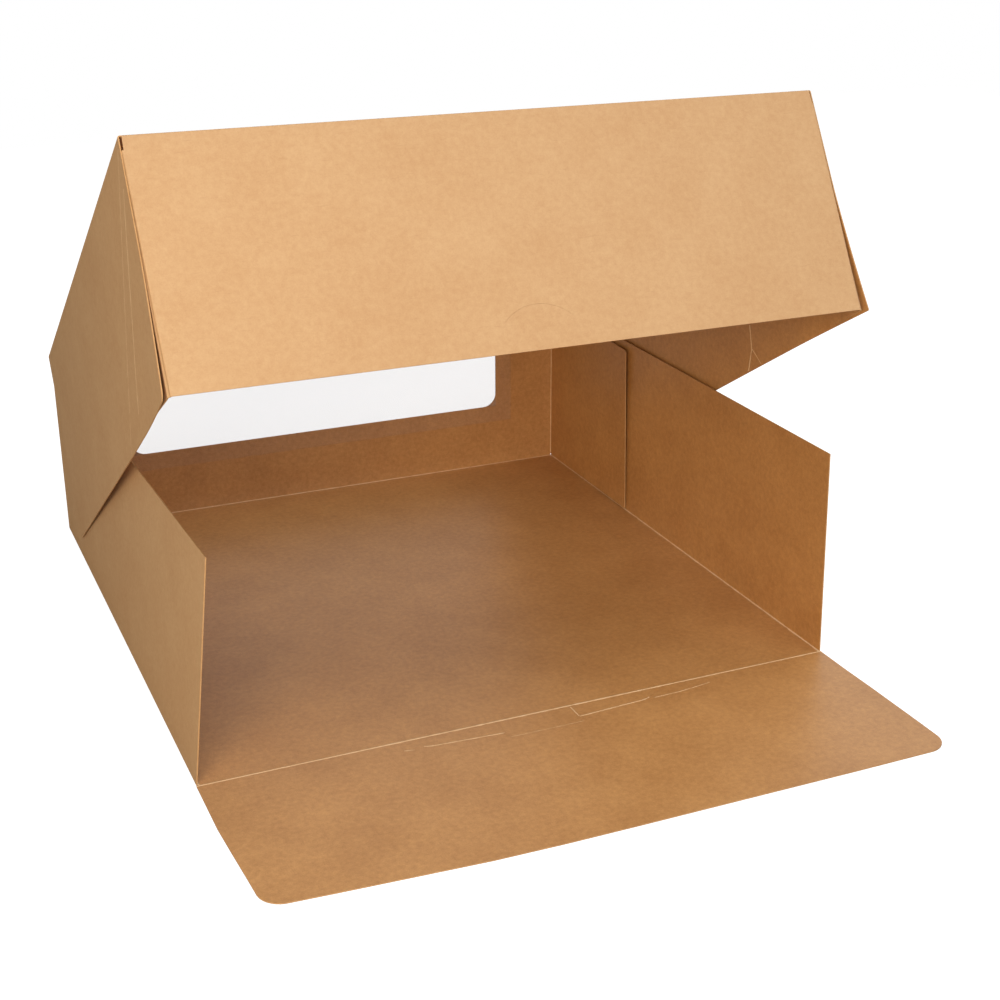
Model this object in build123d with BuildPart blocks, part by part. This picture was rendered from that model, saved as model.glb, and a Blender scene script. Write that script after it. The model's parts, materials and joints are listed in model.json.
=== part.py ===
from build123d import *
from math import asin, cos, hypot, radians, sin, sqrt, tan
import os

# Cake box with a window, folded from one cut sheet of kraft board and shown open.
# Millimetres and degrees. The origin is the centre of the base's underside, with X to the
# right, Y towards the back wall and Z up. The box stands on the plane Z = 0.

# Board, film and folds
board = 0.5  # thickness of the kraft board
film = 0.2  # thickness of the clear window film
fold_radius = 0.4  # rounding of the board's outer face along a made-up fold
hinge_gap = 0.35  # from the line that a flap turns about to the board on either side
glue_line = 0.05  # between two layers of board that are glued face to face
cut_width = 0.35  # width of a slit cut through the board

# Tray
base_width = 300.0  # over the side walls
base_depth = 300.0  # from the front fold to the outside of the back wall
wall_height = 100.0
left_wall_lean = 10.7  # how far the left wall's top front corner leans in
right_wall_lean = 2.5  # the same for the right wall
wall_front_gap = 0.6  # from the front fold to the side walls' front edges
corner_flap_length = 103.0  # flaps of the back wall, glued inside the side walls
corner_flap_top = 2.0  # the flaps end this far below the top of the walls
corner_flap_foot = 1.0  # and this far above the base
corner_flap_slope = 12.0  # length of the slope at the top of their front edge
corner_flap_fall = 5.0  # and how far it falls
corner_flap_spring = 1.2  # how far their front edges stand off the side walls

# Front panel
panel_length = 97.5
panel_corner = 13.0  # radius of its two free corners

# Lock tongue, cut out of the front panel and left in one plane with the base
lug_width = 36.0  # the middle lug, which tucks into the lid
lug_reach = 15.0  # from the front fold to its tip
lobe_reach = 10.7  # from the front fold to the lobes, beside the lug
lobe_end_reach = 8.5  # the same at the lobes' shoulders
shoulder_width = 104.0  # over both shoulders
tongue_width = 136.0  # over both lobes, along the fold
shoulder_radius = 10.0
lug_slit_root = 1.5  # from the front fold to the slits that free the lug from the lobes

# Lid
lid_angle = 30.8  # how far the lid stands open above level
lid_depth = 302.0  # from the hinge line to the outside of the lid's front flap
lid_rise = 0.8  # room between the shut lid and the tops of the side walls
side_gap = 0.3  # room between the side walls and what the lid hangs over them
front_drop = 100.5  # height of the lid's front flap
side_drop = 101.0  # height of the lid's side flaps
left_flare = 1.5  # how far the left side flap's front foot stands out, bent at its slanting crease
right_flare = 3.0  # the same for the right side flap
corner_slit = 0.4  # between a side flap and the front flap, at the lid's corner
corner_slit_foot = 2.5  # the same at the lower edge
tab_start = 12.0  # from the top of the lid to the glue tabs
tab_end = 98.0  # from the top of the lid to the glue tabs' lower edge
tab_inset = 5.0  # from the slanting crease to the glue tabs
tab_bend = 12.0  # from the front flap to where the glue tabs lie flat on the side flaps
tab_bite = 0.1  # how far the glue tabs are pressed into the side flaps

# Half-moon cut in the lid's front flap, which takes the lug
moon_width = 30.0
moon_rise = 6.3
moon_height = 12.5  # from the flap's lower edge to the ends of the cut

# Window, one opening that runs from the back wall over the fold into the lid
window_side_margin = 38.6
window_sill = 38.0  # from the floor to the opening in the back wall
window_front_margin = 45.0  # from the opening to the front of the lid
window_corner = 8.0
film_overlap = 10.0  # how far the film is glued on behind the board
film_fold_gap = 1.0  # from the hinge line to the lid's film

# Places that follow from the sizes
front_y = -base_depth / 2
back_y = base_depth / 2
side_x = base_width / 2
wall_front_y = front_y + wall_front_gap
wall_face_x = side_x - board
flap_face_x = wall_face_x - glue_line
flap_front_y = back_y - corner_flap_length
hinge_y = back_y - board / 2
hinge_z = wall_height + lid_rise + board / 2
window_width = base_width - 2 * window_side_margin
window_tall = base_depth + wall_height
lid_x = side_x + side_gap + 2 * board
tab_x = lid_x - board
flap_back = lid_depth - board
crease_a = flap_back - corner_slit

# Planes of the lid: its middle layer, its side and its front
lid_forward = Vector(0, -cos(radians(lid_angle)), sin(radians(lid_angle)))
lid_upward = Vector(0, sin(radians(lid_angle)), cos(radians(lid_angle)))
hinge_point = Vector(0, hinge_y, hinge_z)
lid_top = Plane(origin=hinge_point, x_dir=(-1, 0, 0), z_dir=lid_upward)
lid_side = Plane(origin=hinge_point, x_dir=lid_forward, z_dir=(-1, 0, 0))
lid_corner = hinge_point + lid_forward * lid_depth + lid_upward * (board / 2)
lid_front = Plane(origin=lid_corner, x_dir=(1, 0, 0), z_dir=lid_forward)


def upright_plane(y):
    """Plane across the box at y, with X to the right and Z upwards."""
    return Plane.XZ.offset(-y)


def across_lid(forward):
    """Plane across the lid at a distance forward of the hinge line, with Y upwards from the lid."""
    return Plane(origin=hinge_point + lid_forward * forward, x_dir=(1, 0, 0), z_dir=lid_forward)


def flare_angle(flare):
    """Bend at a side flap's slanting crease that moves its front foot out by the flare."""
    return asin(flare * sqrt(2) / (side_drop + corner_slit - corner_slit_foot))


def flared_plane(side, flare):
    """Outer plane of a side flap in front of its slanting crease, with X down along the crease."""
    angle = flare_angle(flare)
    crease_top = hinge_point + lid_forward * crease_a + lid_upward * (board / 2)
    crease_down = (lid_forward + lid_upward) * -1
    to_front_foot = (lid_forward - lid_upward).normalized() * cos(angle) + Vector(side * sin(angle), 0, 0)
    return Plane(
        origin=crease_top + Vector(side * lid_x, 0, 0),
        x_dir=crease_down,
        z_dir=crease_down.cross(to_front_foot),
    )


def tab_section(side, flare, forward):
    """Corners of a glue tab's section at a distance forward of the hinge line."""
    corners = []
    for down in (tab_start, tab_end):
        beyond_crease = max(0, (forward - crease_a + down) / sqrt(2))
        stand_out = tan(flare_angle(flare)) * beyond_crease
        if forward == flap_back:
            stand_out = -tab_bite
        outer_x = tab_x + tab_bite + stand_out
        corners.append((side * outer_x, board / 2 - down))
        corners.append((side * (outer_x - board), board / 2 - down))
    return [corners[0], corners[1], corners[3], corners[2]]


def glue_tab(side, flare):
    """Tab that is folded back from the lid's front flap and glued inside a side flap."""
    tab_back = lid_depth - tab_end + tab_inset
    behind_slant = [
        (lid_depth - tab_start + tab_inset, board / 2 - tab_start),
        (tab_back, board / 2 - tab_end),
        (tab_back - tab_inset, board / 2 - tab_end),
        (tab_back - tab_inset, board / 2 - tab_start),
    ]
    with BuildPart() as tab:
        for forward in (flap_back, flap_back - tab_bend, tab_back - tab_inset / 2):
            with BuildSketch(across_lid(forward)):
                Polygon(*tab_section(side, flare, forward), align=None)
        loft(ruled=True)
        with BuildSketch(lid_side):
            Polygon(*behind_slant, align=None)
        extrude(amount=2 * lid_x, both=True, mode=Mode.SUBTRACT)
    return tab.part


def lean_at(lean, y):
    """Inward lean of a side wall's top edge at y, for the lean at its front."""
    return lean * (back_y - y) / (back_y - wall_front_y)


def leaning_strip(side, outer_x, lean, foot_z, top_z):
    """Corners of a leaning wall's section, with its outer face at outer_x on the base."""
    foot_in = lean * (foot_z - board) / (wall_height - board)
    top_in = lean * (top_z - board) / (wall_height - board)
    return [
        (side * (outer_x - foot_in), foot_z),
        (side * (outer_x - top_in), top_z),
        (side * (outer_x - top_in - board), top_z),
        (side * (outer_x - foot_in - board), foot_z),
    ]


def tongue_corners():
    """Corners of the lock tongue, from the base to the tip of the lug."""
    right_half = [
        (tongue_width / 2, front_y + hinge_gap),
        (shoulder_width / 2, front_y - lobe_end_reach),
        (lug_width / 2, front_y - lobe_reach),
        (lug_width / 2, front_y - lug_reach),
    ]
    left_half = [(-x, y) for x, y in reversed(right_half)]
    return right_half + left_half


def corner_flap(side, lean):
    """Flap of the back wall, folded forward and glued inside a side wall."""
    foot_z = board + corner_flap_foot
    top_z = wall_height - corner_flap_top
    slope = [
        (flap_front_y, top_z - corner_flap_fall),
        (flap_front_y + corner_flap_slope, top_z),
        (flap_front_y, top_z),
    ]
    with BuildPart() as flap:
        for y, spring in ((back_y - board, 0.0), (flap_front_y, corner_flap_spring)):
            face_x = flap_face_x - spring
            strip = leaning_strip(side, face_x, lean_at(lean, y), foot_z, top_z)
            with BuildSketch(upright_plane(y)):
                Polygon(*strip, align=None)
        loft(ruled=True)
        with BuildSketch(Plane.YZ):
            Polygon(*slope, align=None)
        extrude(amount=side_x, both=True, mode=Mode.SUBTRACT)
    return flap.part


# Tray: base, lock tongue, back wall with its corner flaps, and side walls
left_flap = corner_flap(-1, left_wall_lean)
right_flap = corner_flap(1, right_wall_lean)

with BuildPart() as tray:
    with BuildSketch():
        with Locations((0, (front_y + hinge_gap + back_y) / 2)):
            Rectangle(base_width, base_depth - hinge_gap)
    extrude(amount=board)
    base_underside = tray.faces().sort_by(Axis.Z)[0]
    folded_edges = base_underside.edges().sort_by(Axis.Y)[1:]
    fillet(folded_edges, radius=fold_radius)

    with BuildSketch():
        Polygon(*tongue_corners(), align=None)
    extrude(amount=board)
    shoulders = tray.edges().filter_by(Axis.Z).filter_by_position(
        Axis.Y, front_y - lobe_end_reach - cut_width, front_y - lobe_end_reach + cut_width
    )
    fillet(shoulders, radius=shoulder_radius)
    lug_slit_length = lobe_reach - lug_slit_root
    with BuildSketch():
        with Locations(
            (-lug_width / 2, front_y - lug_slit_root - lug_slit_length / 2),
            (lug_width / 2, front_y - lug_slit_root - lug_slit_length / 2),
        ):
            Rectangle(cut_width, lug_slit_length + cut_width)
    extrude(amount=board, mode=Mode.SUBTRACT)

    back_wall_top = hinge_z - hinge_gap
    with BuildSketch(Plane.XY.offset(board)) as back_wall:
        with Locations((0, back_y - board / 2)):
            Rectangle(2 * flap_face_x, board)
        fillet(back_wall.vertices().group_by(Axis.Y)[-1], radius=fold_radius)
    extrude(amount=back_wall_top - board)

    add(left_flap)
    add(right_flap)

    for side, lean in ((-1, left_wall_lean), (1, right_wall_lean)):
        for y in (wall_front_y, back_y):
            strip = leaning_strip(side, side_x, lean_at(lean, y), board, wall_height)
            with BuildSketch(upright_plane(y)):
                Polygon(*strip, align=None)
        loft(ruled=True)

    with BuildSketch(upright_plane(back_y)):
        with Locations((0, window_sill + window_tall / 2)):
            RectangleRounded(window_width, window_tall, window_corner)
    extrude(amount=board, mode=Mode.SUBTRACT)
tray.part.label = "tray"

# Film over the part of the window that is in the back wall
film_width = window_width + 2 * film_overlap
film_foot_z = window_sill - film_overlap
with BuildPart() as window_film_back:
    with BuildSketch(upright_plane(back_y - board)):
        with Locations((0, (film_foot_z + back_wall_top) / 2)):
            Rectangle(film_width, back_wall_top - film_foot_z)
    extrude(amount=film)
window_film_back.part.label = "window_film_back"

# Lid: top with the window, front flap, side flaps and the glue tabs inside the corners
with BuildPart() as lid:
    with BuildSketch(lid_top.offset(-board / 2)):
        with Locations((0, (hinge_gap + lid_depth) / 2)):
            Rectangle(2 * lid_x, lid_depth - hinge_gap)
    extrude(amount=board)

    with BuildSketch(lid_front):
        with Locations((0, -front_drop / 2)):
            Rectangle(2 * tab_x, front_drop)
    extrude(amount=-board)

    side_top = board / 2
    side_flap = [
        (hinge_gap, side_top),
        (crease_a, side_top),
        (crease_a, side_top - 2 * board),
        (crease_a - 2 * board, side_top - 2 * board),
        (crease_a - side_drop, side_top - side_drop),
        (hinge_gap, side_top - side_drop),
    ]
    for side in (-1, 1):
        with BuildSketch(lid_side.offset(-side * lid_x)):
            Polygon(*side_flap, align=None)
        extrude(amount=side * board)

    outer_face = lid.faces().filter_by(lid_top).sort_by(Axis(hinge_point, lid_upward))[-1]
    outer_edges = outer_face.edges().sort_by(Axis(hinge_point, lid_forward))[1:]
    fillet(outer_edges, radius=fold_radius)

    foot_along = (side_drop + corner_slit_foot - corner_slit) / sqrt(2)
    foot_beyond = (side_drop + corner_slit - corner_slit_foot) / sqrt(2)
    top_share = 2 * board / hypot(foot_along, foot_beyond)
    flared_corner = [
        (board, -tab_bite),
        (side_drop * sqrt(2), -tab_bite),
        (side_drop * sqrt(2), 0),
        (foot_along, foot_beyond),
        (foot_along * top_share, foot_beyond * top_share),
    ]
    for side, flare in ((-1, left_flare), (1, right_flare)):
        with BuildSketch(flared_plane(side, flare)):
            Polygon(*flared_corner, align=None)
        extrude(amount=side * board)
        add(glue_tab(side, flare))

    with BuildSketch(lid_top):
        with Locations((0, lid_depth - window_front_margin - window_tall / 2)):
            RectangleRounded(window_width, window_tall, window_corner)
    extrude(amount=board, both=True, mode=Mode.SUBTRACT)

    moon_foot = moon_height - front_drop
    with BuildSketch(lid_front):
        with BuildLine():
            ThreePointArc(
                (-moon_width / 2, moon_foot),
                (0, moon_foot + moon_rise),
                (moon_width / 2, moon_foot),
            )
        trace(line_width=cut_width)
    extrude(amount=-board, mode=Mode.SUBTRACT)
lid.part.label = "lid"

# Film over the part of the window that is in the lid
film_front = lid_depth - window_front_margin + film_overlap
with BuildPart() as window_film_lid:
    with BuildSketch(lid_top.offset(-board / 2)):
        with Locations((0, (film_fold_gap + film_front) / 2)):
            Rectangle(film_width, film_front - film_fold_gap)
    extrude(amount=-film)
window_film_lid.part.label = "window_film_lid"

# Front panel, lying open on the floor, with the notch that the lock tongue leaves
with BuildPart() as front_panel:
    with BuildSketch():
        with Locations((0, front_y - (hinge_gap + panel_length) / 2)):
            Rectangle(base_width, panel_length - hinge_gap)
    extrude(amount=board)
    free_corners = front_panel.edges().filter_by(Axis.Z).group_by(Axis.Y)[0]
    fillet(free_corners, radius=panel_corner)
    with BuildSketch():
        Polygon(*tongue_corners(), align=None)
        offset(amount=cut_width, kind=Kind.INTERSECTION)
    extrude(amount=board, mode=Mode.SUBTRACT)
front_panel.part.label = "front_panel"

os.makedirs("parts", exist_ok=True)
export_step(tray.part, "parts/tray.step")
export_step(window_film_back.part, "parts/window_film_back.step")
export_step(lid.part, "parts/lid.step")
export_step(window_film_lid.part, "parts/window_film_lid.step")
export_step(front_panel.part, "parts/front_panel.step")
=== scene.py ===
import json
from math import asin, copysign, cos, degrees, pi, radians, sin, sqrt, tan

import bmesh
import bpy
from mathutils import Matrix, Vector
from mathutils.geometry import delaunay_2d_cdt


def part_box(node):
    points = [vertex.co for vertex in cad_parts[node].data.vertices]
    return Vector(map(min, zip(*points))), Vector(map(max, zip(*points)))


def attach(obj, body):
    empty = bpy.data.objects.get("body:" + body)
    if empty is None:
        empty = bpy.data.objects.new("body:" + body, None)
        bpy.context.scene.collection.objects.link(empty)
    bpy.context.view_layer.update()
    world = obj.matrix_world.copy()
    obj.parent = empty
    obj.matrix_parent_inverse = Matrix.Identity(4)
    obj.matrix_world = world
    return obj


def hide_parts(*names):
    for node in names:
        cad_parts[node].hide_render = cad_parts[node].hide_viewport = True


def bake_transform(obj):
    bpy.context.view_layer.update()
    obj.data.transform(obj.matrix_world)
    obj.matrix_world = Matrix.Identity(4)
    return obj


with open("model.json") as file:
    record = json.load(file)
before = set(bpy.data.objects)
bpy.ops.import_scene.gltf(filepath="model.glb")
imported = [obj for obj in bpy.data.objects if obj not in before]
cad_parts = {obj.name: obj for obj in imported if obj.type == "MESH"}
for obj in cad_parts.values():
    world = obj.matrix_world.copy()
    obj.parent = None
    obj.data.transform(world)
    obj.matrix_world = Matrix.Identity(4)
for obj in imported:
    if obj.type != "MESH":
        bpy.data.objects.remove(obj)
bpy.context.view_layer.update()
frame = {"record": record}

# The cake box is one folded sheet of kraft board with a film window. It is dressed here in the
# frame of the CAD model. Lengths are millimetres and become metres when meshes are made. Only the
# camera, the floor, the lamps and the height of the materials' bumps are given in metres.
MM = 0.001
X, Y, Z = Vector((1, 0, 0)), Vector((0, 1, 0)), Vector((0, 0, 1))
side_names = {-1: "left", 1: "right"}

# Board and folds, as in the CAD model
board = 0.5  # thickness of the board
fold_inside = 0.2  # radius of a fold's inner face
fold_run = 1.0  # length that a fold takes up in the flat sheet
hinge_gap = 0.35  # from a hinge line to the board on either side
slit = 0.06  # width of a cut through the board

# Hinges, and the lid's directions: forward from its hinge in its own plane, and up from that plane
joints = {joint["name"]: joint for joint in frame["record"]["behaviour"]["joints"]}
lid_joint = joints["lid_hinge"]
panel_joint = joints["front_panel_hinge"]
hinge = Vector(lid_joint["pos_m"]) / MM
lid_angle = radians(-lid_joint["range_deg"][0])
lid_forward = Vector((0, -cos(lid_angle), sin(lid_angle)))
lid_upward = Vector((0, sin(lid_angle), cos(lid_angle)))

# Tray: base, side walls, back wall and the corner flaps that the back wall turns onto the side walls
front_y = panel_joint["pos_m"][1] / MM
back_y = -front_y
half_width = 150.0
wall_height = 100.0
top_lean = {-1: 10.7, 1: 2.5}  # inward lean of the side walls' tops at the front
wall_front_gap = 0.6
corner_flap_gap = 0.05  # glue between a corner flap and its side wall
corner_flap_length = 103.0
corner_flap_foot = 1.5
corner_flap_top = 96.2
corner_flap_slope = 1.6  # length and height of the small cut at the flap's upper front corner
corner_flap_fall = 1.2
corner_flap_spring = (1.0, 2.2)  # stand-off of a corner flap's front edge at its foot and top

# Lid. Its two side flaps are the wings, and each has a crease that slants down from its front corner.
lid_x = 151.3
flap_x = lid_x - board  # inner faces of the wings, between which the front flap lies
lid_depth = 302.0
front_drop = 100.5
side_drop = 101.0
flap_back = lid_depth - board  # inner face of the front flap
crease_setback = 0.4
crease_start = flap_back - crease_setback  # where the slanting creases meet the lid's top
corner_flare = {-1: 1.5, 1: 3.0}  # how far the wings' front feet stand out
flare_start = 0.42  # share of the way from the crease to that foot at which it starts to stand out
flare_power = 1.5
flap_inset = {-1: 0.8, 1: 1.3}  # how far the front flap's lower corners draw in
flap_shoulder = 0.9  # how far the front flap is cut back beside the ridge
wing_round = {-1: 4.0, 1: 0.8}  # rounding of the wings' front feet
wing_slit = 0.25  # gap between a wing and the front flap at the ridge
wing_slit_foot = 0.8  # the same gap at the foot
wing_slit_bend = 58.0  # height down from the ridge at which that gap opens
wing_kink = 0.6  # how far the slanting creases dip in at their feet

# Glue tabs, folded back from the front flap and glued inside the wings' corners
tab_start = 6.0
tab_foot = front_drop - 0.2
tab_foot_back = 91.0
tab_foot_turn = 1.6  # length of the foot that stays at the flap's own height
tab_top_back = 2.5
tab_gap = 0.03  # glue between a tab and its wing
tab_settled = (0.6, 1.4)  # distances back between which a tab moves out to the wing's line
tab_glued = (3.0, 30.0)  # distances back between which it takes up the wing's curl

# Half-moon cut in the front flap
moon_half = 15.0
moon_rise = 6.3
moon_foot_gap = 12.5  # from the flap's foot
moon_steps = 14

# Window and film
window_x = 111.4
window_sill = 38.0
window_front = lid_depth - 45.0
window_corner = 8.0
film_margin = 10.0  # glued edge round the opening
film = 0.12  # thickness of the film
film_gap = 0.03  # glue between the film and the board
film_bend = 1.5  # from the lid's hinge line to the film's flat parts

# Right half of the lock tongue, with the lug in the middle and a lobe beside it
lug_x = 18.0
lug_reach = 15.0
lobe_reach = 10.7
lobe_end_reach = 8.5
shoulder_x = 52.0
shoulder_round = 10.0
tongue_x = 68.0
lug_slit_root = 1.5
root_growth = 0.7  # shares of a gap round the tongue by which its root and shoulder move outwards
shoulder_growth = 0.5

# Front panel. Its left corner draws in, and its right side bows out a little.
panel_half = 150.0
panel_rise = 0.3  # how far the free edge draws in before the right corner
panel_rise_start = 104.0
panel_rise_end = 139.0
right_corner = 10.3  # radius
right_corner_angles = (-86, -4)
right_bow = ((0.6, 72), (0.4, 40), (0.0, 18))  # each the way out, and the distance from the hinge
left_side = ((0.0, 34), (0.8, 52), (1.8, 72))  # each the way in, and the distance from the hinge
left_corner = 10.0  # radius
left_corner_angles = (184, 268)
left_corner_steps = 9
left_corner_in = 2.2
left_corner_up = 6.3
left_end = ((119, 4.9), (89, 2.9), (60, 1.0), (30, 0.2))  # each the distance left, and the way in

# Beads: width, height and unevenness of the raised lines along scores and creases
fold_bead = (1.1, 0.16, 0.25)
corner_bead = (0.8, 0.1, 0.25)
hinge_bead = (0.8, 0.16, 0.3)
lobe_beads = {-1: (0.42, 0.09, 0.3), 1: (0.55, 0.09, 0.3)}
lug_end_bead = (0.24, 0.03, 0.4)
lug_side_bead = (0.45, 0.1, 0.2)
score_bead = (0.4, 0.07, 0.4)
slant_bead = (0.5, 0.05, 0.4)
stem_bead = (0.8, 0.12, 0.4)
branch_bead = (0.5, 0.08, 0.4)
worn_bead = (0.6, 0.07, 0.4)
bead_sides = 4
bead_sink = 0.02  # how far a bead's foot lies in the board
swell_rates = (3.7, 1.3)  # radians from ring to ring of the two waves that make a bead uneven
bead_step = 4.0  # distances between a bead's rings
lid_bead_step = 3.0
fine_bead_step = 2.0  # along the tongue, its hinge and the score marks
bead_inset = 0.1  # from a fold's start to the middle of its bead
corner_bead_heights = (2, 95.8)  # foot and top of the bead in each upright corner at the back

# Marks on the board, each a run of points
score_marks = (  # across the panel and forward from its hinge
    [(-63, -7.6), (-58.6, -8.4)],
    [(56, -8.6), (69, -8.2), (79, -7.0), (86, -5.8)],
)
slant_mark = (4, 99.5)  # heights down between which the slanting creases look worn outside
crease_stem = [(210.2, 80), (207.1, 91.3), (199.8, 100.2)]  # forward from the hinge, down from the lid
crease_branch = [(207.6, 91.5), (212.4, 100.2)]
worn_line = [(294, 18), (279, 36), (262, 58), (243, 82), (237, 91)]


def linear(colour):
    """Linear colour of an sRGB colour given in 0 to 255."""
    shares = [part / 255 for part in colour]
    return (*(s / 12.92 if s <= 0.04045 else ((s + 0.055) / 1.055) ** 2.4 for s in shares), 1.0)


# Camera
camera_at = Vector((-0.26349, -0.72384, 0.35023))
camera_yaw = radians(23.381)
camera_pitch = radians(21.505)
camera_roll = radians(-0.198)
camera_data = bpy.data.cameras.new("camera")
camera_data.lens = 58.56
camera_data.sensor_width = 36
camera = bpy.data.objects.new("camera", camera_data)
level_share = cos(camera_pitch)
ahead = Vector((sin(camera_yaw) * level_share, cos(camera_yaw) * level_share, -sin(camera_pitch)))
level_right = Vector((cos(camera_yaw), -sin(camera_yaw), 0))
level_up = level_right.cross(ahead)
right = level_right * cos(camera_roll) + level_up * sin(camera_roll)
up = level_up * cos(camera_roll) - level_right * sin(camera_roll)
camera.matrix_world = Matrix.Translation(camera_at) @ Matrix((right, up, -ahead)).transposed().to_4x4()
bpy.context.collection.objects.link(camera)
bpy.context.scene.camera = camera


# Nodes that the materials and the world are made of
def feed(tree, node, values):
    """Gives a node's inputs constants, or links them to other nodes' outputs."""
    for name, value in values.items():
        if isinstance(value, bpy.types.NodeSocket):
            tree.links.new(value, node.inputs[name])
        else:
            node.inputs[name].default_value = value


def maths(tree, operation, first, second):
    node = tree.nodes.new("ShaderNodeMath")
    node.operation = operation
    feed(tree, node, {0: first, 1: second})
    return node.outputs[0]


def weighted(tree, *parts):
    """The sum of some values, each times its share."""
    terms = [maths(tree, "MULTIPLY", value, share) for value, share in parts]
    total = terms[0]
    for term in terms[1:]:
        total = maths(tree, "ADD", total, term)
    return total


def blended(tree, share, first, second):
    """A colour that goes from the first to the second as the share goes from 0 to 1."""
    node = tree.nodes.new("ShaderNodeMix")
    node.data_type = "RGBA"
    feed(tree, node, {"Factor": share, "A": first, "B": second})
    return node.outputs["Result"]


def ranged(tree, value, low, high, reach=1.0):
    """Takes the values from low to high over to 0 to reach."""
    node = tree.nodes.new("ShaderNodeMapRange")
    feed(tree, node, {"Value": value, "From Min": low, "From Max": high, "To Max": reach})
    return node.outputs["Result"]


def noise(tree, place, scale, detail, stretch=None):
    if stretch:
        mapping = tree.nodes.new("ShaderNodeMapping")
        feed(tree, mapping, {"Vector": place, "Scale": stretch})
        place = mapping.outputs["Vector"]
    node = tree.nodes.new("ShaderNodeTexNoise")
    feed(tree, node, {"Vector": place, "Scale": scale, "Detail": detail, "Roughness": noise_roughness})
    return node.outputs["Fac"]


def seen_by(tree, *kinds):
    """1 for rays of the named kinds, and 0 for all others."""
    rays = tree.nodes.new("ShaderNodeLightPath")
    seen = rays.outputs[f"Is {kinds[0]} Ray"]
    for kind in kinds[1:]:
        seen = maths(tree, "MAXIMUM", seen, rays.outputs[f"Is {kind} Ray"])
    return seen


def new_material(name):
    material = bpy.data.materials.new(name)
    material.use_nodes = True
    return material, material.node_tree, material.node_tree.nodes["Principled BSDF"]


# Kraft board. Each noise has a scale per metre and a detail.
cloud_noise = (30, 3)
mottle_noise = (420, 5)
grain_noise = (1700, 3)
fibre_noise = (420, 3)
noise_roughness = 0.6
fibres_along_x = (0.35, 3.0, 3.0)  # scales that draw the noise out into fibres
fibres_along_y = (3.0, 0.35, 3.0)
cloud_share = 0.3
mottle_share = 0.4
grain_share = 0.3
tone_range = (0.36, 0.64)  # noise between which the board goes from dark to light
fibre_range = (0.62, 0.78)  # noise between which a fibre comes to show
fibre_strength = 0.3
bump_height = 0.00005  # metres
bump_strength = 0.6
bump_fibres = 0.6
bump_grain = 0.4


def kraft(name, dark, light, fibre, roughness, gloss):
    """Kraft board: cloudy mottling and fine grain between two colours, with short fibres of a third."""
    material, tree, principled = new_material(name)
    place = tree.nodes.new("ShaderNodeTexCoord").outputs["Object"]
    clouds = noise(tree, place, *cloud_noise)
    mottle = noise(tree, place, *mottle_noise)
    grain = noise(tree, place, *grain_noise)
    fibres_x = noise(tree, place, *fibre_noise, fibres_along_x)
    fibres_y = noise(tree, place, *fibre_noise, fibres_along_y)
    fibres = maths(tree, "MAXIMUM", fibres_x, fibres_y)
    tone = weighted(tree, (clouds, cloud_share), (mottle, mottle_share), (grain, grain_share))
    body = blended(tree, ranged(tree, tone, *tone_range), linear(dark), linear(light))
    flecked = blended(tree, ranged(tree, fibres, *fibre_range, fibre_strength), body, linear(fibre))
    bump = tree.nodes.new("ShaderNodeBump")
    height = weighted(tree, (fibres, bump_fibres), (grain, bump_grain))
    feed(tree, bump, {"Height": height, "Distance": bump_height, "Strength": bump_strength})
    feed(tree, principled, {"Base Color": flecked, "Roughness": roughness, "Specular IOR Level": gloss})
    feed(tree, principled, {"Normal": bump.outputs["Normal"]})
    return material


board_inside = kraft(
    "kraft_inside", (173, 120, 64), (204, 150, 89), (148, 96, 48), roughness=0.42, gloss=0.62
)
board_outside = kraft(
    "kraft_outside", (194, 151, 106), (206, 167, 122), (175, 130, 87), roughness=0.75, gloss=0.12
)
board_edge = kraft(
    "kraft_cut_edge", (182, 136, 86), (206, 162, 110), (160, 115, 70), roughness=0.85, gloss=0.2
)
crease_pale = kraft(
    "kraft_crease", (222, 184, 136), (236, 205, 162), (205, 165, 118), roughness=0.7, gloss=0.25
)

# The board's materials, in the order of the faces that they are for
board_materials = (board_inside, board_outside, board_edge, crease_pale)
inner_face, outer_face, cut_face, bead_face = range(len(board_materials))


def clear_film(name, alpha, grey=0.56, roughness=0.1):
    material, tree, principled = new_material(name)
    feed(tree, principled, {"Base Color": (grey, grey, grey, 1), "Roughness": roughness, "Alpha": alpha})
    return material


film_clear = clear_film("window_film_clear", 0.15)
film_glued = clear_film("window_film_glued", 0.04)


# Shapes in the flat sheet
def spaced(start, end, step):
    """Evenly spaced places from start to end, about a step apart."""
    count = max(1, round(abs(end - start) / step))
    return [start + (end - start) * k / count for k in range(count + 1)]


def along(points, step):
    """Points of a run of straight lines, about a step apart."""
    run = [Vector(points[0])]
    for first, second in zip(points, points[1:]):
        first, second = Vector(first), Vector(second)
        count = max(1, round((second - first).length / step))
        run += [first.lerp(second, k / count) for k in range(1, count + 1)]
    return run


def arc(centre_x, centre_y, radius, start, end, count=8):
    """Points of an arc, from one angle in degrees to another."""
    angles = [radians(a) for a in spaced(start, end, abs(end - start) / count)]
    return [(centre_x + radius * cos(a), centre_y + radius * sin(a)) for a in angles]


def rounded(points, radius, index, count=6):
    """Replaces one corner of an open run of points by an arc."""
    before, corner, after = (Vector(points[index + k]) for k in (-1, 0, 1))
    first = (before - corner).normalized()
    second = (after - corner).normalized()
    half = first.angle(second) / 2
    reach = radius / tan(half)
    centre = corner + (first + second).normalized() * (radius / sin(half))
    start = corner + first * reach - centre
    end = corner + second * reach - centre
    turned = [start.slerp(end, k / count).normalized() for k in range(count + 1)]
    return points[:index] + [tuple(centre + spoke * radius) for spoke in turned] + points[index + 1 :]


def mirrored(points):
    """The same run on the other side of the middle, from its end to its start."""
    return [(-x, y) for x, y in reversed(points)]


def both_sides(places):
    return [side * place for side in side_names for place in places]


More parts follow.
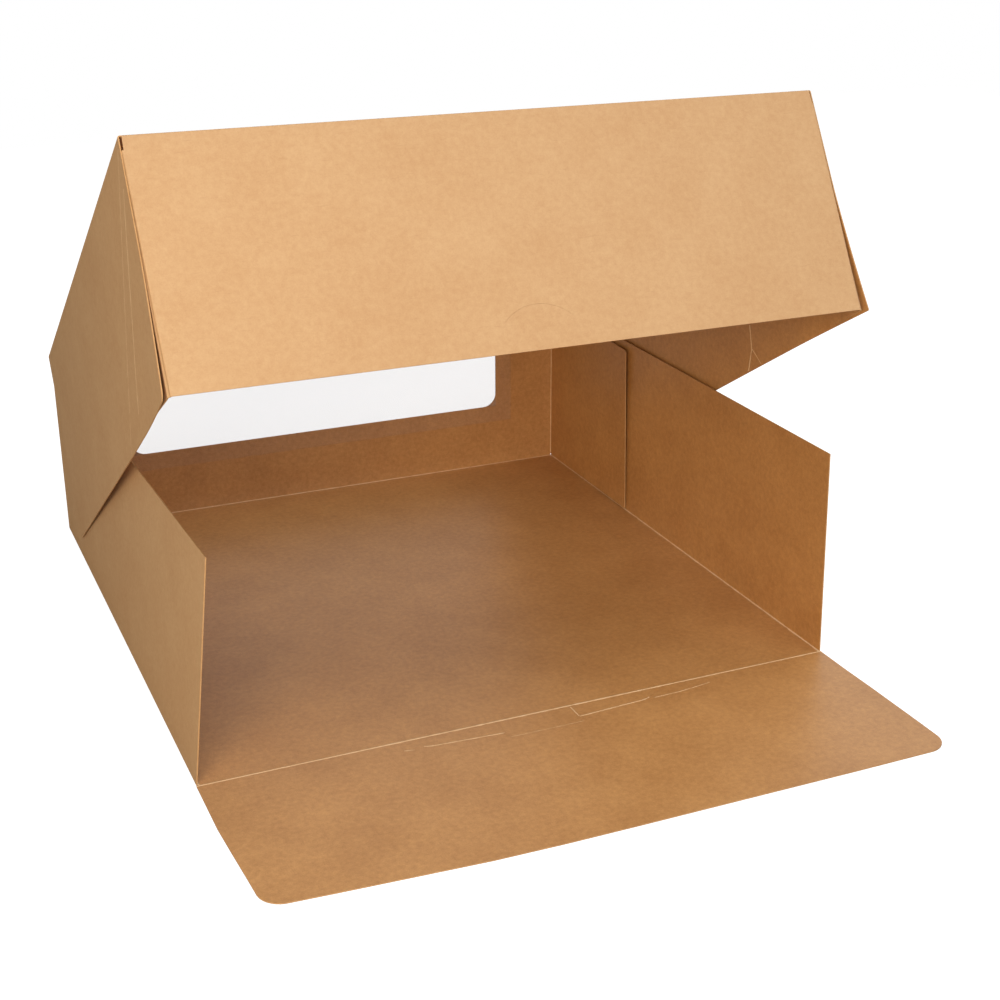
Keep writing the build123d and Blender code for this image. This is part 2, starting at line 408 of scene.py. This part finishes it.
def inside(point, loop):
    """Whether a point lies inside a closed loop of points."""
    x, y = point
    found = False
    for (x0, y0), (x1, y1) in zip(loop, loop[1:] + loop[:1]):
        if (y0 > y) != (y1 > y) and x < x0 + (y - y0) * (x1 - x0) / (y1 - y0):
            found = not found
    return found


# Lines that divide the sheets, so that they can bend
middle_lines = spaced(-140, 140, 14)
wall_lines = spaced(160, 240, 10)
panel_lines = spaced(-240, -155, 8)
lid_top_lines = spaced(10, 200, 13) + spaced(206, 296, 6)
wing_lines = spaced(156, 246, 6)
front_flap_lines = spaced(310, 395, 10)
tab_lines_back = spaced(1.3, 3.4, 0.3) + spaced(6, 90, 4)
tab_lines_down = spaced(12, 99, 6)
fold_steps = spaced(0, fold_run, fold_run / 4)
strip_step = 20.0  # between the columns of a strip over a hinge
sheet_margin = 1.0  # how far the lines run on beyond a sheet's outline
merge_distance = 1e-4  # points of a sheet closer than this are one
sharp_angle = radians(32)  # faces that meet at more than this have a hard edge


def fold_lines(start):
    return [start + step for step in fold_steps]


# Folding and building board
def bent(run, depth, turn):
    """Where a point lies that is run beyond a fold's start, and depth from the inner face.

    Returns how far it is ahead of the fold's start, and how far from the outer face's plane.
    """
    if run <= 0:
        return run, board - depth
    radius = fold_inside + depth
    angle = turn * min(run / fold_run, 1.0)
    straight = max(run - fold_run, 0.0)
    ahead_by = radius * sin(angle) + straight * cos(angle)
    inwards = board + fold_inside - radius * cos(angle) + straight * sin(angle)
    return ahead_by, inwards


def add_face(bm, corners, kind):
    face = bm.faces.new(corners)
    face.material_index = kind


def card(bm, outline, holes, u_lines, v_lines, place):
    """Adds one sheet of board, cut to an outline in the flat and folded by place(u, v, depth)."""
    points = []
    edges = []
    for loop in [outline, *holes]:
        first = len(points)
        points += [Vector(p) for p in loop]
        edges += [(first + k, first + (k + 1) % len(loop)) for k in range(len(loop))]
    low_u, low_v = (min(p[k] for p in outline) - sheet_margin for k in (0, 1))
    high_u, high_v = (max(p[k] for p in outline) + sheet_margin for k in (0, 1))
    lines = [((u, low_v), (u, high_v)) for u in u_lines] + [((low_u, v), (high_u, v)) for v in v_lines]
    for ends in lines:
        points += [Vector(end) for end in ends]
        edges.append((len(points) - 2, len(points) - 1))
    flat, _, triangles, _, _, _ = delaunay_2d_cdt(points, edges, [], 0, merge_distance)
    kept = []
    for triangle in triangles:
        centre = sum((flat[k] for k in triangle), Vector((0, 0))) / 3
        if inside(centre, outline) and not any(inside(centre, hole) for hole in holes):
            kept.append(tuple(triangle))
    used = sorted({k for triangle in kept for k in triangle})
    inner = {k: bm.verts.new(Vector(place(flat[k].x, flat[k].y, 0.0)) * MM) for k in used}
    outer = {k: bm.verts.new(Vector(place(flat[k].x, flat[k].y, board)) * MM) for k in used}
    rims = {}  # edges that only one triangle has, in the order that they are met
    for triangle in kept:
        add_face(bm, [inner[k] for k in triangle], inner_face)
        add_face(bm, [outer[k] for k in reversed(triangle)], outer_face)
        for a, b in zip(triangle, triangle[1:] + triangle[:1]):
            if (b, a) in rims:
                del rims[(b, a)]
            else:
                rims[(a, b)] = True
    for a, b in rims:
        add_face(bm, [inner[b], inner[a], outer[a], outer[b]], cut_face)


def ridge(bm, path, across, bead, phase):
    """Adds a low rounded bead along a path, as a crease in board has on its inner side.

    Each path point comes with the direction that the bead stands up in.
    """
    width, height, unevenness = bead
    fast, slow = swell_rates
    rings = []
    for k, (centre, upwards) in enumerate(path):
        swell = 1 + unevenness * sin(fast * k + phase) * sin(slow * k + 2 * phase)
        ring = []
        for j in range(bead_sides + 1):
            angle = pi * j / bead_sides
            sideways = across * (-cos(angle) * width / 2 * swell)
            offset = sideways + upwards * (sin(angle) * height * swell - bead_sink)
            ring.append(bm.verts.new((centre + offset) * MM))
        rings.append(ring)
    for first, second in zip(rings, rings[1:]):
        for j in range(bead_sides):
            add_face(bm, [first[j], first[j + 1], second[j + 1], second[j]], bead_face)
    for ring in (rings[0], rings[-1]):
        add_face(bm, ring, bead_face)
    for first, second in zip(rings, rings[1:]):
        add_face(bm, [first[0], second[0], second[-1], first[-1]], bead_face)


def on_the_flat(points):
    """A bead's path over the inner face of board that lies flat."""
    return [(Vector((x, y, board)), Z) for x, y in points]


def turn_outwards(bm):
    """Turns all faces so far to the outside."""
    bmesh.ops.recalc_face_normals(bm, faces=bm.faces)


def new_object(name, bm, materials):
    """Makes an object of a mesh, smooth but for its real edges."""
    mesh = bpy.data.meshes.new(name)
    bm.to_mesh(mesh)
    bm.free()
    for polygon in mesh.polygons:
        polygon.use_smooth = True
    mesh.set_sharp_from_angle(angle=sharp_angle)
    for material in materials:
        mesh.materials.append(material)
    obj = bpy.data.objects.new(name, mesh)
    bpy.context.collection.objects.link(obj)
    return obj


# Tray, in the flat sheet
side_start = half_width - board - fold_inside
back_start = back_y - board - fold_inside
flap_start = half_width - board - corner_flap_gap - board - fold_inside
wall_end = side_start + fold_run + wall_height - board - fold_inside
wall_front = front_y + wall_front_gap
base_front = front_y + hinge_gap
back_wall_top = hinge.z - hinge_gap
flap_end = flap_start + fold_run + corner_flap_length - board - fold_inside


def up_the_back(z):
    """Place in the flat sheet of the height z on the back wall."""
    return back_start + fold_run + z - board - fold_inside


def lean_along(side, y):
    """Inward lean of a side wall's top at a place along the wall."""
    return top_lean[side] * (back_y - y) / (back_y - wall_front)


def tray_place(u, v, depth):
    side = copysign(1, u)
    if abs(u) <= side_start and v <= back_start:
        return (u, v, board - depth)
    if v > back_start and abs(u) <= flap_start:
        ahead_by, z = bent(v - back_start, depth, pi / 2)
        return (u, back_start + ahead_by, z)
    if v > back_start + fold_run:
        z = v - back_start - fold_run + board + fold_inside
        ahead_by, inwards = bent(abs(u) - flap_start, depth, pi / 2)
        y = back_y - inwards
        share = min(1, max(0, (back_y - y) / corner_flap_length)) ** 2
        foot, top = corner_flap_spring
        spring = share * (foot + (top - foot) * z / wall_height)
        lean = lean_along(side, y) * max(z - board, 0) / (wall_height - board)
        return (side * (flap_start + ahead_by - lean - spring), y, z)
    tilt = asin(lean_along(side, v) / (wall_height - board))
    ahead_by, z = bent(abs(u) - side_start, depth, pi / 2 + tilt)
    return (side * (side_start + ahead_by), v, z)


def tongue_half(gap=0.0):
    """Right half of the lock tongue's edge, from its root to the lug's tip, grown by gap."""
    run = [
        (tongue_x + gap * root_growth, base_front),
        (shoulder_x + gap * shoulder_growth, front_y - lobe_end_reach - gap),
        (lug_x + gap, front_y - lobe_reach - gap),
    ]
    return rounded(run, shoulder_round, 1) + [(lug_x + gap, front_y - lug_reach - gap)]


def tongue_with_slits():
    """Right half of the tongue with the slit that frees the lug from the lobe."""
    run = tongue_half()[:-1]
    root = front_y - lug_slit_root
    run[-1] = (lug_x + slit / 2, run[-1][1])
    run += [(lug_x + slit / 2, root), (lug_x - slit / 2, root), (lug_x - slit / 2, front_y - lug_reach)]
    return run


right_edge = tongue_with_slits()[::-1]
right_edge += [
    (side_start, base_front),
    (side_start, wall_front),
    (wall_end, wall_front),
    (wall_end, back_y),
    (side_start, back_y),
    (side_start, back_start),
    (flap_start, back_start),
    (flap_start, up_the_back(corner_flap_foot)),
    (flap_end, up_the_back(corner_flap_foot)),
    (flap_end, up_the_back(corner_flap_top - corner_flap_fall)),
    (flap_end - corner_flap_slope, up_the_back(corner_flap_top)),
    (flap_start, up_the_back(corner_flap_top)),
    (flap_start, up_the_back(back_wall_top)),
    (window_x, up_the_back(back_wall_top)),
]
sill_arc_centre = up_the_back(window_sill + window_corner)
right_edge += arc(window_x - window_corner, sill_arc_centre, window_corner, 0, -90)
tray_u = middle_lines + both_sides(fold_lines(side_start)) + both_sides(fold_lines(flap_start))
tray_u += both_sides(wall_lines)
tray_v = middle_lines + fold_lines(back_start) + wall_lines
tray_mesh = bmesh.new()
card(tray_mesh, right_edge + mirrored(right_edge), [], tray_u, tray_v, tray_place)
turn_outwards(tray_mesh)

# Beads along the tray's folds, its front hinge and the tongue's cut edges. The beads along folds run
# on a little into the folds and cuts at their ends.
side_bead_ends = (wall_front, back_start + 0.6)
back_bead_end = side_start + 0.5
hinge_bead_end = tongue_x + 0.8
lobe_bead_inset = 0.2
lobe_bead_root = 1.0  # distance from the hinge at which the lobe's bead starts
lug_end_inset = 0.15
lug_side_inset = 0.3
lug_side_end = 0.5  # from the lobe's reach back to the end of the bead beside the lug
for side in side_names:
    fold_x = side * (side_start - bead_inset)
    side_fold = on_the_flat((fold_x, y) for y in spaced(*side_bead_ends, bead_step))
    ridge(tray_mesh, side_fold, X, fold_bead, phase=side)
    corner = (X * -side - Y).normalized()
    corner_x = side * (flap_start + bead_inset)
    heights = spaced(*corner_bead_heights, bead_step)
    upright = [(Vector((corner_x, back_start + bead_inset, z)), corner) for z in heights]
    ridge(tray_mesh, upright, corner.cross(Z), corner_bead, phase=side + 7.0)
back_bead_places = spaced(-back_bead_end, back_bead_end, bead_step)
back_fold = on_the_flat((x, back_start - bead_inset) for x in back_bead_places)
ridge(tray_mesh, back_fold, Y, fold_bead, phase=5.0)
hinge_bead_places = spaced(-hinge_bead_end, hinge_bead_end, fine_bead_step)
hinge_score = on_the_flat((x, front_y) for x in hinge_bead_places)
ridge(tray_mesh, hinge_score, Y, hinge_bead, phase=2.0)
lobe_cut = [(x, y) for x, y in tongue_half()[:-1] if y < front_y - lobe_bead_root]
for side in side_names:
    lobe = [(side * x, y + lobe_bead_inset) for x, y in lobe_cut]
    ridge(tray_mesh, on_the_flat(along(lobe, fine_bead_step)), Y, lobe_beads[side], phase=side)
lug_edge_x = lug_x - lug_side_inset
lug_end = [(x, front_y - lug_reach + lug_end_inset) for x in (-lug_edge_x, lug_edge_x)]
ridge(tray_mesh, on_the_flat(along(lug_end, fine_bead_step)), Y, lug_end_bead, phase=4.0)
lug_side = [(lug_edge_x, front_y - lug_slit_root), (lug_edge_x, front_y - lobe_reach + lug_side_end)]
ridge(tray_mesh, on_the_flat(along(lug_side, fine_bead_step)), X, lug_side_bead, phase=6.0)
tray = new_object("tray_board", tray_mesh, board_materials)
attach(tray, "tray")
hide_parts("tray")

# Front panel, with the notch that the tongue was cut from
panel_y = front_y - hinge_gap
panel_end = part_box("front_panel")[0][1] / MM


def panel_place(u, v, depth):
    return (u, v, board - depth)


panel_right = [(0, panel_end), (panel_rise_start, panel_end), (panel_rise_end, panel_end + panel_rise)]
right_corner_x = panel_half + right_bow[0][0] - right_corner
right_corner_y = panel_end + panel_rise + right_corner
panel_right += arc(right_corner_x, right_corner_y, right_corner, *right_corner_angles)
panel_right += [(panel_half + out, front_y - away) for out, away in right_bow]
panel_right.append((panel_half, panel_y))
panel_left = [(-panel_half, panel_y)]
panel_left += [(-panel_half + drawn, front_y - away) for drawn, away in left_side]
left_corner_x = -panel_half + left_corner_in + left_corner
left_corner_y = panel_end + left_corner_up + left_corner
panel_left += arc(left_corner_x, left_corner_y, left_corner, *left_corner_angles, left_corner_steps)
panel_left += [(-x, panel_end + drawn) for x, drawn in left_end]
notch = tongue_half(slit)
notch_share = (panel_y - notch[0][1]) / (notch[1][1] - notch[0][1])
tongue_root_x = notch[0][0] + notch_share * (notch[1][0] - notch[0][0])  # where its cut meets the edge
notch[0] = (tongue_root_x, panel_y)
panel_outline = panel_right + notch + mirrored(notch) + panel_left
panel_mesh = bmesh.new()
card(panel_mesh, panel_outline, [], middle_lines, panel_lines, panel_place)
for phase, mark in enumerate(score_marks, start=1):
    run = on_the_flat((x, front_y + y) for x, y in along(mark, fine_bead_step))
    ridge(panel_mesh, run, Y, score_bead, phase)
turn_outwards(panel_mesh)
panel = new_object("front_panel_board", panel_mesh, board_materials)
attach(panel, "front_panel")
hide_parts("front_panel")

# Lid, in the flat sheet and on its own planes
lid_side_start = lid_x - board - fold_inside
lid_front_start = lid_depth - board - fold_inside
lid_side_end = lid_side_start + fold_run + side_drop - board - fold_inside
lid_front_end = lid_front_start + fold_run + front_drop - board - fold_inside
flap_fold_x = flap_x - board - fold_inside - tab_gap  # where the front flap's sides start to fold
wing_foot = (side_drop + crease_setback - wing_slit_foot) / sqrt(2)  # from a wing's crease to its front foot


def lid_point(x, a, b):
    """A point from its place across the lid, forward from the hinge and up from the lid's middle."""
    return hinge + X * x + lid_forward * a + lid_upward * b


def corner_curl(side, a, down):
    """How far a wing's front corner stands out, curling away from the front flap."""
    share = (a - crease_start + down) / sqrt(2) / wing_foot
    curl = max(0, share - flare_start) / (1 - flare_start)
    return corner_flare[side] * min(1, curl) ** flare_power


def wing_offset(side, a, b):
    """How far a wing stands out from upright, bent at its slanting crease."""
    down = board / 2 - b
    dip = wing_kink * max(0, min(down, crease_start - a)) / side_drop
    return corner_curl(side, a, down) - dip


def lid_place(u, v, depth):
    side = copysign(1, u)
    if v > lid_front_start:
        ahead_by, down = bent(v - lid_front_start, depth, pi / 2)
        return lid_point(u, lid_front_start + ahead_by, board / 2 - down)
    ahead_by, down = bent(abs(u) - lid_side_start, depth, pi / 2)
    x = lid_side_start + ahead_by
    b = board / 2 - down
    if abs(u) > lid_side_start + fold_run:
        x += wing_offset(side, v, b)
    return lid_point(side * x, v, b)


def down_the_flap(down):
    """Place in the flat sheet of a height down the front flap."""
    return lid_front_start + fold_run + down - board - fold_inside


def flap_edge(side, down):
    """Where the fold between the front flap and its glue tab starts, across the lid."""
    return flap_fold_x - flap_inset[side] * max(0, down - tab_start) / (front_drop - tab_start)


def lid_half(side):
    """The lid's outline on one side of its middle, drawn as the right half."""
    wing = [
        (lid_side_end, hinge_gap),
        (lid_side_end, flap_back - wing_slit_foot),
        (lid_side_start + fold_run + wing_slit_bend, flap_back - 2 * wing_slit),
    ]
    half = arc(window_x - window_corner, window_front - window_corner, window_corner, 90, 0)
    half += [(window_x, hinge_gap), (lid_side_start, hinge_gap)] + rounded(wing, wing_round[side], 1)
    half += [
        (lid_side_start + fold_run, flap_back - wing_slit),
        (lid_side_start, lid_front_start),
        (flap_x - flap_shoulder, lid_front_start + fold_run),
        (flap_edge(side, tab_start), down_the_flap(tab_start)),
        (flap_edge(side, front_drop), lid_front_end),
    ]
    return half


def half_moon():
    """The half-moon cut: two arcs round one centre, a slit apart."""
    radius = (moon_half**2 + moon_rise**2) / (2 * moon_rise)
    centre = lid_front_end - moon_foot_gap - moon_rise + radius
    span = degrees(asin(moon_half / radius))
    outer = arc(0, centre, radius + slit / 2, -90 - span, -90 + span, moon_steps)
    return outer + arc(0, centre, radius - slit / 2, -90 + span, -90 - span, moon_steps)


lid_u = middle_lines + both_sides(fold_lines(lid_side_start)) + both_sides(wing_lines)
lid_v = lid_top_lines + fold_lines(lid_front_start) + front_flap_lines
lid_mesh = bmesh.new()
card(lid_mesh, lid_half(1) + mirrored(lid_half(-1)), [half_moon()], lid_u, lid_v, lid_place)


def ramp(value, low, high):
    """0 up to low, 1 from high on, and a smooth way between."""
    share = min(1, max(0, (value - low) / (high - low)))
    return share * share * (3 - 2 * share)


def tab_place(side):
    """The way to fold the glue tab of one side, from runs back from the flap and heights down."""

    def place(run, down, depth):
        ahead_by, inwards = bent(run, depth, pi / 2)
        a = lid_depth - inwards
        back = flap_back - a
        drawn_in = flap_fold_x - flap_edge(side, down)
        x = flap_edge(side, down) + ahead_by + drawn_in * ramp(back, *tab_settled)
        x += corner_curl(side, a, down) * ramp(back, *tab_glued)
        return lid_point(side * x, a, board / 2 - down)

    return place


def wing_mark(side, points, depth, bead, phase):
    """Pale line on a wing, through places given forward of the hinge and down from the lid.

    Its depth from the wing's inner face is 0 for a line inside and the board's own for one outside.
    """
    path = []
    outwards = X * side * (1 if depth > board / 2 else -1)
    for a, down in along(points, lid_bead_step):
        x = lid_x - board + depth + wing_offset(side, a, board / 2 - down)
        path.append((lid_point(side * x, a, board / 2 - down), outwards))
    run = (path[-1][0] - path[0][0]).normalized()
    ridge(lid_mesh, path, run.cross(outwards).normalized(), bead, phase)


tab_outline = [
    (0, tab_start),
    (0, front_drop),
    (tab_foot_turn, front_drop),
    (tab_foot_back, tab_foot),
    (tab_top_back, tab_start),
]
slant = [(crease_start - down, down) for down in slant_mark]
for side in side_names:
    card(lid_mesh, tab_outline, [], fold_steps + tab_lines_back, tab_lines_down, tab_place(side))
    wing_mark(side, slant, board, slant_bead, phase=side + 3.0)
    wing_mark(side, crease_stem, 0.0, stem_bead, phase=side + 1.0)
    wing_mark(side, crease_branch, 0.0, branch_bead, phase=side + 2.0)
wing_mark(-1, worn_line, board, worn_bead, phase=5.0)
turn_outwards(lid_mesh)
lid = new_object("lid_board", lid_mesh, board_materials)
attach(lid, "lid")
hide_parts("lid")


# Strips of sheet over the hinges
def strip(name, x0, x1, path, materials, step=strip_step):
    """A strip of sheet across a hinge: path gives each row's inner and outer point in Y and Z."""
    bm = bmesh.new()
    columns = spaced(x0, x1, step)
    inner = [[bm.verts.new(Vector((x, *p)) * MM) for p, _ in path] for x in columns]
    outer = [[bm.verts.new(Vector((x, *q)) * MM) for _, q in path] for x in columns]
    last_row = len(path) - 1
    last_column = len(columns) - 1
    for c in range(last_column):
        for r in range(last_row):
            add_face(bm, [inner[c][r], inner[c + 1][r], inner[c + 1][r + 1], inner[c][r + 1]], inner_face)
            add_face(bm, [outer[c][r + 1], outer[c + 1][r + 1], outer[c + 1][r], outer[c][r]], outer_face)
        for r, turn in ((0, 1), (last_row, -1)):
            rim = [inner[c][r], outer[c][r], outer[c + 1][r], inner[c + 1][r]]
            add_face(bm, rim[::turn], cut_face)
    for c in (0, last_column):
        for r in range(last_row):
            add_face(bm, [inner[c][r], inner[c][r + 1], outer[c][r + 1], outer[c][r]], cut_face)
    turn_outwards(bm)
    return new_object(name, bm, materials)


front_fold_rows = 6
front_fold_lift = 0.12  # how far the crease stands up in its middle
front_fold = []
for k in range(front_fold_rows + 1):
    y = base_front - 2 * hinge_gap * k / front_fold_rows
    lift = front_fold_lift * sin(pi * k / front_fold_rows)
    front_fold.append(((y, board + lift), (y, 0.0)))
for side, name in side_names.items():
    ends = sorted((side * tongue_root_x, side * half_width))
    piece = strip(f"front_fold_{name}", *ends, front_fold, (crease_pale, board_outside, board_edge))
    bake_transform(piece)

lid_fold_rows = 8
lid_fold_inset = 0.6  # from the back wall's side edges


def fold_path(offset_inner, offset_outer, reach):
    """Rows of a sheet that turns from the back wall into the lid around the hinge line."""
    corner = Vector((hinge.y, hinge.z))
    start = corner - Vector((0, reach))
    end = corner + Vector(lid_forward.yz) * reach
    rows = []
    for k in range(lid_fold_rows + 1):
        t = k / lid_fold_rows
        middle = start * (1 - t) ** 2 + corner * 2 * t * (1 - t) + end * t**2
        direction = (corner - start) * (1 - t) + (end - corner) * t
        direction.normalize()
        outwards = Vector((direction.y, -direction.x))
        rows.append((tuple(middle - outwards * offset_inner), tuple(middle + outwards * offset_outer)))
    return rows


lid_fold = fold_path(board / 2, board / 2, hinge_gap)
for side, name in side_names.items():
    ends = sorted((side * window_x, side * (half_width - lid_fold_inset)))
    piece = strip(f"lid_fold_{name}", *ends, lid_fold, (board_inside, board_outside, board_edge))
    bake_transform(piece)

# Window film, one sheet from the back wall over the hinge into the lid
film_x = window_x + film_margin
film_foot = window_sill - film_margin
film_front = window_front + film_margin
film_inner = board / 2 + film_gap + film
film_outer = -(board / 2 + film_gap)
film_bend_margin = 1.0  # from the bend's rows to the next one
film_step = 10.0
film_lid_step = 12.0
film_wall_reach = 2.0  # distance from the hinge's plane within which the film is on the back wall
film_rows = [
    ((hinge.y - film_inner, z), (hinge.y + film_outer, z))
    for z in spaced(film_foot, hinge.z - film_bend - film_bend_margin, film_step)
]
film_rows += fold_path(film_inner, film_outer, film_bend)
outwards = Vector(lid_upward.yz)
for a in spaced(film_bend + film_bend_margin, film_front, film_lid_step):
    middle = Vector((hinge.y, hinge.z)) + Vector(lid_forward.yz) * a
    film_rows.append((tuple(middle - outwards * film_inner), tuple(middle + outwards * film_outer)))
film_materials = (film_clear, film_clear, film_glued)
window_film = strip("window_film", -film_x, film_x, film_rows, film_materials, film_step)
for polygon in window_film.data.polygons:
    centre = polygon.center / MM
    beside = abs(centre.x) > window_x
    below = centre.z < window_sill and centre.y > hinge.y - film_wall_reach
    before = (centre - hinge).dot(lid_forward) > window_front
    if beside or below or before:
        polygon.material_index = cut_face  # the glued edge has the material of the cut edges
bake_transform(window_film)
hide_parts("window_film_back", "window_film_lid")

# Floor and world, both white to the camera
white = (1, 1, 1, 1)
floor_half = 1.5
floor_depth = 0.0004
floor_grey = (0.5, 0.5, 0.5, 1)
floor_roughness = 0.9
floor_glow = 0.88
world_fill = (0.15, 0.137, 0.118, 1)


def plain_floor():
    bm = bmesh.new()
    bmesh.ops.create_grid(bm, x_segments=1, y_segments=1, size=floor_half)
    for vertex in bm.verts:
        vertex.co.z = -floor_depth
    material, tree, principled = new_material("floor_white")
    glow = maths(tree, "MULTIPLY", seen_by(tree, "Camera", "Transmission"), floor_glow)
    feed(tree, principled, {"Base Color": floor_grey, "Specular IOR Level": 0.0})
    feed(tree, principled, {"Roughness": floor_roughness})
    feed(tree, principled, {"Emission Color": white, "Emission Strength": glow})
    return new_object("floor", bm, (material,))


floor = plain_floor()

world = bpy.data.worlds.new("studio")
world.use_nodes = True
bpy.context.scene.world = world
tree = world.node_tree
seen = seen_by(tree, "Camera", "Transmission", "Glossy")
feed(tree, tree.nodes["Background"], {"Color": blended(tree, seen, world_fill, white)})


# Lamps
def softbox(name, place, target, size, power, colour=(1, 1, 1)):
    """A square lamp of a size in metres and a power in watts, turned from its place to a target."""
    light = bpy.data.lights.new(name, "AREA")
    light.shape = "SQUARE"
    light.size = size
    light.energy = power
    light.color = colour
    lamp = bpy.data.objects.new(name, light)
    lamp.location = place
    lamp.rotation_euler = (Vector(target) - Vector(place)).to_track_quat("-Z", "Y").to_euler()
    bpy.context.collection.objects.link(lamp)


softbox("key_softbox", (-0.4, -1.5, 0.9), (0, -0.1, 0.1), 1.0, 15.7, (0.985, 1.0, 1.08))
softbox("top_softbox", (0.3, -0.5, 1.8), (0, -0.1, 0.0), 1.0, 10.8, (0.97, 1.01, 1.12))
softbox("near_softbox", (-0.8, -0.92, 0.34), (-0.15, -0.12, 0.08), 0.4, 5.4, (1.0, 0.85, 0.62))
softbox("back_softbox", (1.4, 0.3, 1.4), (0, 0.05, 0.1), 1.0, 5)

bpy.context.scene.view_settings.view_transform = "Standard"
